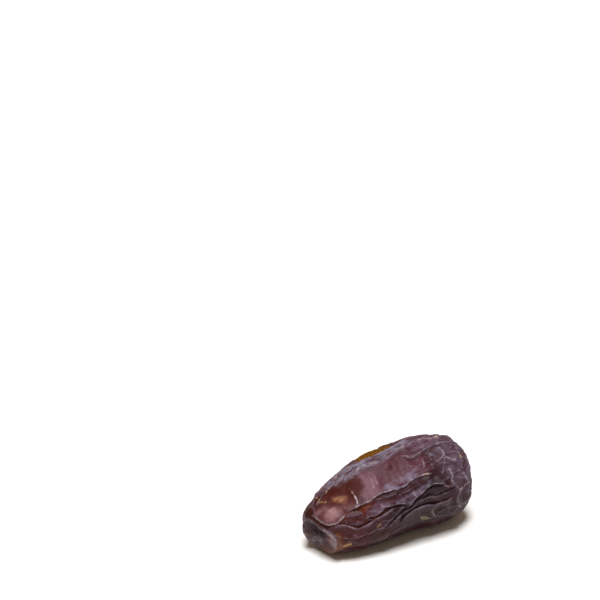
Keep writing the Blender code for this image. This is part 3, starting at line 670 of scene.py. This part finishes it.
def dateMesh(cells):  # a cube with so many cells along each edge, swelled to the date
    mesh = bmesh.new()
    bmesh.ops.create_cube(mesh, size=2)
    bmesh.ops.subdivide_edges(mesh, edges=mesh.edges, cuts=cells - 1, use_grid_fill=True)
    bmesh.ops.recalc_face_normals(mesh, faces=mesh.faces)
    data = bpy.data.meshes.new("date_skin")
    mesh.to_mesh(data)
    mesh.free()
    count = len(data.vertices)
    flat = np.empty(count * 3)
    data.vertices.foreach_get("co", flat)
    direction = np.tan(flat.reshape(-1, 3) * math.pi / 4)
    direction /= np.linalg.norm(direction, axis=1, keepdims=True)
    along = np.arccos(np.clip(-direction[:, 0], -1, 1)) / math.pi * skinLength
    angle = np.arctan2(-direction[:, 1], direction[:, 2])
    points, facts = skin(along, angle)
    points = fitted(restOnFloor(points))
    data.vertices.foreach_set("co", (points * mm).ravel())
    data.update()
    data.shade_smooth()
    edges = np.empty(len(data.edges) * 2, np.int64)
    data.edges.foreach_get("vertices", edges)
    edges = edges.reshape(-1, 2)
    marks = skinMarks(facts, edges, cells)
    onBody = bodyPoint(along, angle)
    for name, spot in spots.items():
        gap = np.min([np.linalg.norm(onBody - placePoint(place), axis=1) for place in spot["places"]], axis=0)
        marks[name] = np.exp(-((gap / spot["reach"]) ** 2))
    for name, values in marks.items():
        data.attributes.new(name, "FLOAT", "POINT").data.foreach_set("value", values.astype(np.float32))
    return data


def srgb(r, g, b):  # a colour as seen, 0 to 255, as the light values that a shader takes
    return (*[c / 255 / 12.92 if c <= 10 else ((c / 255 + 0.055) / 1.055) ** 2.4 for c in (r, g, b)], 1)


skinLook = dict(
    dark=srgb(40, 18, 22), mid=srgb(70, 33, 40), mauve=srgb(88, 48, 60), paleMauve=srgb(128, 90, 102),
    # the pink on this line is a painted highlight
    tipMauve=srgb(78, 53, 64), purple=srgb(55, 41, 49), grey=srgb(58, 43, 46), pinkHighlight=srgb(160, 120, 124),
    # the bloom colours on this line are waxy bloom with a painted bluish sheen; the edge line colour is dry
    # skin edge with a painted highlight
    bloomAndSheen=srgb(130, 122, 144), greyBloomAndSheen=srgb(128, 120, 138), edgeLineAndHighlight=srgb(180, 162, 170),
    warm=srgb(84, 36, 26), warmLow=srgb(58, 28, 26), red=srgb(66, 18, 11), redMauve=srgb(88, 42, 44),
    redDeep=srgb(62, 16, 8), orange=srgb(88, 34, 12), amber=srgb(50, 16, 6), amberSpot=srgb(170, 122, 92),
    # the hollow, gap and furrow colours on this line are painted shade
    hollow=srgb(54, 26, 30), redShade=srgb(72, 24, 12), furrow=srgb(24, 11, 14), redFurrowShade=srgb(92, 38, 20),
    # the dark dish colour is both mottle and painted shade on the dish floor; the pale rim colour is partly a
    # painted highlight
    dish=srgb(76, 58, 62), dishDarkAndShade=srgb(36, 24, 30), paleRimAndHighlight=srgb(150, 136, 144),
    # the flap's pink on this line is a painted highlight
    dishFlapHighlight=srgb(168, 132, 136), dishLip=srgb(114, 76, 58), lipLine=srgb(98, 48, 16),
    bare=srgb(116, 72, 8), bareDark=srgb(74, 44, 6), tan=srgb(124, 98, 84), tanFleck=srgb(186, 172, 140),
    sugar=srgb(200, 166, 114),
    mottleShare=0.3, fineShare=0.12, furrowShare=0.85, dishMottle=0.5, dishShare=0.95,
    strongBead=1.5, strongBeadShare=0.75,  # a bead stronger than this shows a solid pale line, a painted highlight along its crest or lip
    roughness=0.42, smoother=0.05, rougher=0.08, glossyRoughness=0.62, dullRoughness=0.52, bareRoughness=0.8,
    specular=0.12, glow=0.08, glowRadius=(1.0, 0.35, 0.2), glowDepth=0.0012,  # glow is light through the skin
    grainDepth=0.00005, fineGrain=0.5)
grains = dict(  # size in mm, stretch along the date, and the part of the noise that is spread over 0 to 1
    patches=dict(size=5.0, stretch=2.2, detail=4), mottle=dict(size=1.1, stretch=1.6, detail=5),
    fine=dict(size=0.35, stretch=1.5, detail=4), beads=dict(size=1.2, detail=4, low=0.40, high=0.62),
    cloudy=dict(size=1.9, stretch=1.6, detail=5, low=0.36, high=0.62),
    streaks=dict(size=0.9, stretch=5.0, detail=5, low=0.39, high=0.58, roughness=0.65),
    broken=dict(size=1.4, detail=3, low=0.3, high=0.6), bare=dict(size=0.5, detail=4),
    wrinkle=dict(size=0.7, stretch=2.5, detail=5, low=0.2, high=0.8))
# Over the base colours, in this order: where, colour, most of it, and the grain that breaks it up
skinTints = (
    ("stem", "warm", 0.3, None), ("greySide", "grey", 0.8, None), ("mauvePanel", "mauve", 0.85, None),
    ("palePanel", "paleMauve", 0.5, None), ("panelDark", "mid", 0.35, None), ("bandLeft", "mauve", 0.7, None),
    ("lobe", "mauve", 0.45, "cloudy"), ("topBand", "mauve", 0.6, None), ("topBand", "bloomAndSheen", 0.3, "streaks"),
    # the hollow tints on this line and the next are painted shade, redder near the stem, and also at the top
    # of the band under the middle fold
    ("tip", "tipMauve", 0.55, None), ("tip", "tipMauve", 0.65, "cloudy"), ("hollow", "hollow", 0.45, None),
    ("stemHollowShade", "redShade", 0.6, None), ("bandTop", "hollow", 0.4, None),
    ("darkEnd", "purple", 0.75, None), ("bloomSheenBand", "redMauve", 0.4, "cloudy"),
    # the bloom tints on this line and the next two are waxy bloom with a painted bluish sheen
    ("bloomSheenBand", "greyBloomAndSheen", 0.85, "streaks"), ("tip", "bloomAndSheen", 0.2, "cloudy"),
    ("bluePanel", "bloomAndSheen", 0.65, "cloudy"), ("bandLow", "bloomAndSheen", 0.5, "cloudy"),
    # the bloom on the swellings on this line is a painted sheen
    ("bandLeft", "bloomAndSheen", 0.3, "cloudy"), ("swellSheen", "bloomAndSheen", 0.35, "cloudy"),
    ("thinSkin", "red", 0.92, None), ("thinSkin", "redMauve", 0.6, "cloudy"),
    # the deepest red on this line is partly painted shade below the top ridge
    ("deepRed", "redDeep", 0.85, None), ("panelTip", "redMauve", 0.75, None),
    # the pink on this line is a painted highlight, fading out over the panel's foot and strongest in its core
    ("panelTip", "pinkHighlight", 0.3, "cloudy"), ("pinkCore", "pinkHighlight", 0.5, None), ("pinkCore", "pinkHighlight", 0.6, "mottle"),
    # the red gap on this line is painted shade
    ("redGap", "redShade", 0.85, None), ("orangeGap", "orange", 0.85, None), ("amber", "amber", 0.95, None),
    ("amberSpot", "amberSpot", 0.6, "mottle"), ("amberSpot", "amberSpot", 0.65, "fine"),
    ("tanFlap", "tan", 0.6, "cloudy"), ("tanPatch", "tanFleck", 0.75, "mottle"),
    # the bloom on the ridge tops on this line is a painted highlight
    ("lowBody", "warmLow", 0.6, "cloudy"), ("ridgeHighlight", "bloomAndSheen", 0.35, "broken"))
# painted shade on the dish floor and a painted highlight on its flap
dishTints = (
    ("dishFloorShade", "dishDarkAndShade", 0.8, None), ("dishStreaks", "paleRimAndHighlight", 0.8, "mottle"),
    ("dishFlap", "dishFlapHighlight", 0.75, None))
rimTints = (
    # the pale rim and flap edge lines are partly painted highlights
    ("dishEdge", "paleRimAndHighlight", 0.35, "cloudy"), ("dishFlapEdge", "paleRimAndHighlight", 0.5, None),
    ("lipUnder", "dishLip", 0.85, None), ("lipBelow", "dishLip", 0.9, None),
    ("lipLine", "lipLine", 0.8, None))
# pale lines along crests and lips: dry skin edge and painted highlight together
beadTints = (("bead", "edgeLineAndHighlight", 0.5, "beads"),)
sugarTints = (("sugar", "sugar", 1.0, None),)


class Nodes:  # short calls that add and join a material's nodes
    def __init__(self, material):
        material.use_nodes = True
        self.tree = material.node_tree
        self.shader = self.tree.nodes["Principled BSDF"]

    def add(self, kind, **values):
        node = self.tree.nodes.new(kind)
        for name, value in values.items():
            if name in node.inputs:
                self.put(node.inputs[name], value)
            else:
                setattr(node, name, value)
        return node

    def put(self, socket, value):
        if isinstance(value, bpy.types.NodeSocket):
            self.tree.links.new(value, socket)
        else:
            socket.default_value = value

    def mark(self, name):
        return self.add("ShaderNodeAttribute", attribute_name=name).outputs["Fac"]

    def maths(self, operation, a, b=0.0, clamp=False):
        node = self.add("ShaderNodeMath", operation=operation, use_clamp=clamp)
        self.put(node.inputs[0], a)
        self.put(node.inputs[1], b)
        return node.outputs[0]

    def mix(self, share, a, b):
        node = self.add("ShaderNodeMix", data_type="RGBA")
        self.put(node.inputs["Factor"], share)
        self.put(node.inputs[6], a)
        self.put(node.inputs[7], b)
        return node.outputs[2]

    def blend(self, share, a, b):
        node = self.add("ShaderNodeMix", data_type="FLOAT")
        self.put(node.inputs["Factor"], share)
        self.put(node.inputs[2], a)
        self.put(node.inputs[3], b)
        return node.outputs[0]

    def grain(self, size, stretch=1.0, detail=3.0, low=0.35, high=0.65, roughness=0.5):  # 0 to 1, size in mm
        place = self.add("ShaderNodeTexCoord").outputs["Object"]
        scaled = self.add("ShaderNodeMapping", Scale=(1 / stretch, 1, 1))
        self.put(scaled.inputs["Vector"], place)
        made = self.add("ShaderNodeTexNoise", Scale=1 / (size * mm), Detail=detail, Roughness=roughness)
        self.put(made.inputs["Vector"], scaled.outputs[0])
        ramp = self.add("ShaderNodeMapRange")
        self.put(ramp.inputs["Value"], made.outputs["Fac"])
        self.put(ramp.inputs["From Min"], low)
        self.put(ramp.inputs["From Max"], high)
        return ramp.outputs[0]


def skinMaterial():
    look = skinLook
    material = bpy.data.materials.new("date_skin")
    n = Nodes(material)
    uneven = {name: n.grain(**values) for name, values in grains.items()}

    def tinted(colour, tints):
        for name, tint, most, by in tints:
            share = n.maths("MULTIPLY", n.mark(name), most)
            if by:
                share = n.maths("MULTIPLY", share, uneven[by])
            colour = n.mix(share, colour, look[tint])
        return colour

    colour = n.mix(uneven["patches"], look["dark"], look["mid"])
    colour = n.mix(n.maths("MULTIPLY", uneven["mottle"], look["mottleShare"]), colour, look["dark"])
    colour = tinted(colour, skinTints)
    colour = n.mix(n.maths("MULTIPLY", uneven["fine"], look["fineShare"]), colour, look["dark"])
    # painted shade in the furrows, redder near the stem
    furrowShadeColour = n.mix(n.mark("warmFurrow"), look["furrow"], look["redFurrowShade"])
    colour = n.mix(n.maths("MULTIPLY", n.mark("furrow"), look["furrowShare"]), colour, furrowShadeColour)
    colour = tinted(colour, beadTints)
    strong = n.maths("SUBTRACT", n.mark("bead"), look["strongBead"], clamp=True)
    colour = n.mix(n.maths("MULTIPLY", strong, look["strongBeadShare"]), colour, look["edgeLineAndHighlight"])
    dishMottle = n.maths("MULTIPLY", uneven["mottle"], look["dishMottle"])
    dishColour = tinted(n.mix(dishMottle, look["dish"], look["dishDarkAndShade"]), dishTints)
    colour = n.mix(n.maths("MULTIPLY", n.mark("dish"), look["dishShare"]), colour, dishColour)
    colour = tinted(colour, rimTints)
    colour = n.mix(n.mark("bare"), colour, n.mix(uneven["bare"], look["bareDark"], look["bare"]))
    n.put(n.shader.inputs["Base Color"], tinted(colour, sugarTints))

    rough = n.blend(uneven["fine"], look["roughness"] - look["smoother"], look["roughness"] + look["rougher"])
    for marks, roughness in ((("dish", "bloomSheenBand", "swellSheen"), "dullRoughness"),
                             (("thinSkin", "amber", "tip"), "glossyRoughness"), (("bare",), "bareRoughness")):
        where = n.mark(marks[0])
        for name in marks[1:]:
            where = n.maths("MAXIMUM", where, n.mark(name))
        rough = n.blend(where, rough, look[roughness])
    n.put(n.shader.inputs["Roughness"], rough)
    n.put(n.shader.inputs["Subsurface Weight"], look["glow"])
    n.put(n.shader.inputs["Subsurface Radius"], look["glowRadius"])
    n.put(n.shader.inputs["Subsurface Scale"], look["glowDepth"])
    n.put(n.shader.inputs["Specular IOR Level"], look["specular"])
    bump = n.add("ShaderNodeBump", Strength=1.0, Distance=look["grainDepth"])
    fineGrain = n.maths("MULTIPLY", uneven["fine"], look["fineGrain"])
    n.put(bump.inputs["Height"], n.maths("ADD", uneven["wrinkle"], fineGrain))
    n.put(n.shader.inputs["Normal"], bump.outputs[0])
    return material


cells = 128
date = bpy.data.objects.new("date_skin", dateMesh(cells))
bpy.context.scene.collection.objects.link(date)
date.data.materials.append(skinMaterial())
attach(date, "root")
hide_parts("date")
print("date skin made:", len(date.data.polygons), "faces")

# A plain pale floor
floorLook = dict(size=6.0, colour=(0.86, 0.86, 0.86, 1), roughness=0.9)


def makeFloor():
    data = bpy.data.meshes.new("floor")
    half = floorLook["size"] / 2
    corners = [(-half, -half, 0), (half, -half, 0), (half, half, 0), (-half, half, 0)]
    data.from_pydata(corners, [], [(0, 1, 2, 3)])
    floor = bpy.data.objects.new("floor", data)
    bpy.context.scene.collection.objects.link(floor)
    material = bpy.data.materials.new("pale_floor")
    n = Nodes(material)
    n.put(n.shader.inputs["Base Color"], floorLook["colour"])
    n.put(n.shader.inputs["Roughness"], floorLook["roughness"])
    n.put(n.shader.inputs["Specular IOR Level"], 0.0)
    data.materials.append(material)


makeFloor()
print("floor made")

# Soft studio light: a dim warm surround and one broad light from almost overhead, a little left and in front
lightLook = dict(
    surround=0.24, surroundColour=(1.0, 0.77, 0.55, 1), keyStrength=3.9, keySpread=23,
    keyFrom=(-0.111, -0.108, 1.0))


def makeLight():
    world = bpy.data.worlds.new("surround")
    world.use_nodes = True
    background = world.node_tree.nodes["Background"]
    background.inputs["Color"].default_value = lightLook["surroundColour"]
    background.inputs["Strength"].default_value = lightLook["surround"]
    bpy.context.scene.world = world
    key = bpy.data.objects.new("key", bpy.data.lights.new("key", "SUN"))
    key.data.energy = lightLook["keyStrength"]
    key.data.angle = math.radians(lightLook["keySpread"])
    key.rotation_euler = Vector(lightLook["keyFrom"]).to_track_quat("Z", "Y").to_euler()
    bpy.context.scene.collection.objects.link(key)
    bpy.context.scene.view_settings.view_transform = "Standard"


makeLight()
print("light made")

# The photograph's viewing angle; the place is in mm
cameraLook = dict(
    place=(-176.4, -250.7, 201.6), azimuth=-30.868, elevation=23.661, lens=80, sensor=36, nearest=10)


def makeCamera():
    azimuth = math.radians(cameraLook["azimuth"])
    elevation = math.radians(cameraLook["elevation"])
    back = Vector((math.sin(azimuth) * math.cos(elevation), -math.cos(azimuth) * math.cos(elevation),
                   math.sin(elevation)))
    camera = bpy.data.objects.new("camera", bpy.data.cameras.new("camera"))
    camera.data.lens = cameraLook["lens"]
    camera.data.sensor_width = cameraLook["sensor"]
    camera.data.clip_start = cameraLook["nearest"] * mm
    camera.location = Vector(cameraLook["place"]) * mm
    camera.rotation_euler = back.to_track_quat("Z", "Y").to_euler()
    bpy.context.scene.collection.objects.link(camera)
    bpy.context.scene.camera = camera


makeCamera()
print("camera made")
